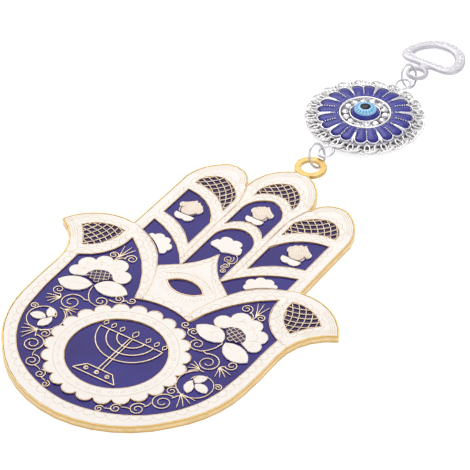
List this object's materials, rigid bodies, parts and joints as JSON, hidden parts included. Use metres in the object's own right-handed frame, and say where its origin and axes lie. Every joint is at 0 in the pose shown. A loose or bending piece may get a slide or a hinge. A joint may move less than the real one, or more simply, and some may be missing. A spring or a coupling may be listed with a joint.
{
  "type": "hamsa hand ornament",
  "caption": "Hamsa hand wall hanging with cloisonne-style enamel, a ringed round medallion with an eye bead and a D-shaped hanging loop.",
  "frame": {"origin": "on the flat back of the hand, behind the centre of the palm disc", "axes": "+Y towards the fingers and the hanging loop, +Z out of the enamelled face, +X to the right seen from the front"},
  "size_m": [0.1128, 0.2476, 0.0089],
  "materials": {
    "gilt": "gilt, polished",
    "blue_enamel": "glossy enamel",
    "dark_enamel": "glossy enamel",
    "white_enamel": "glossy enamel",
    "silver": "silvery plating, polished",
    "petal_enamel": "glossy enamel",
    "stone": "cut and polished",
    "cobalt_glass": "polished",
    "pale_glass": "polished",
    "black_glass": "polished"
  },
  "bodies": {
    "hand": {"hand_casting": "gilt", "middle_tip_lattice": "gilt", "left_tip_lattice": "gilt", "left_thumb_lattice": "gilt", "left_scrollwork": "gilt", "right_tip_lattice": "gilt", "right_thumb_lattice": "gilt", "right_scrollwork": "gilt", "menorah": "gilt", "flames": "gilt", "palm_enamel": "blue_enamel", "disc_enamel": "blue_enamel", "eye_enamel": "blue_enamel", "middle_finger_enamel": "blue_enamel", "left_finger_enamel": "blue_enamel", "right_finger_enamel": "blue_enamel", "left_flower_centre": "blue_enamel", "right_flower_centre": "blue_enamel", "middle_tip_enamel": "dark_enamel", "left_tip_enamel": "dark_enamel", "right_tip_enamel": "dark_enamel", "left_thumb_enamel": "dark_enamel", "right_thumb_enamel": "dark_enamel", "border_white": "white_enamel", "eye_panel_white": "white_enamel", "middle_finger_white": "white_enamel", "ring_white": "white_enamel", "middle_bud": "white_enamel", "middle_cloud": "white_enamel", "left_finger_white": "white_enamel", "left_thumb_white": "white_enamel", "left_flower": "white_enamel", "left_leaves": "white_enamel", "left_trefoil": "white_enamel", "left_bud": "white_enamel", "left_cloud": "white_enamel", "right_finger_white": "white_enamel", "right_thumb_white": "white_enamel", "right_flower": "white_enamel", "right_leaves": "white_enamel", "right_trefoil": "white_enamel", "right_bud": "white_enamel", "right_cloud": "white_enamel"},
    "lower_link": {"lower_ring": "silver"},
    "medallion": {"medallion_casting": "silver", "medallion_enamel": "petal_enamel", "rhinestones": "stone", "bead_base": "cobalt_glass", "bead_iris": "pale_glass", "bead_pupil": "black_glass"},
    "upper_link": {"upper_ring": "silver"},
    "hanger": {"hanger": "silver"}
  },
  "joints": [
    {"name": "lower_ring_swing", "type": "hinge", "parent": "hand", "child": "lower_link", "pos_m": [0, 0.1236, 0.00198], "axis": [1, 0, 0], "range_deg": [-8, 45]},
    {"name": "medallion_swing", "type": "hinge", "parent": "lower_link", "child": "medallion", "pos_m": [0.00052, 0.125, 0.00355], "axis": [1, 0, 0], "range_deg": [-30, 20]},
    {"name": "upper_ring_swing", "type": "hinge", "parent": "medallion", "child": "upper_link", "pos_m": [0.00268, 0.1814, 0.00355], "axis": [1, 0, 0], "range_deg": [-50, 30]},
    {"name": "hanger_swing", "type": "hinge", "parent": "upper_link", "child": "hanger", "pos_m": [0.0031, 0.1842, 0.00337], "axis": [1, 0, 0], "range_deg": [-50, 50]}
  ]
}
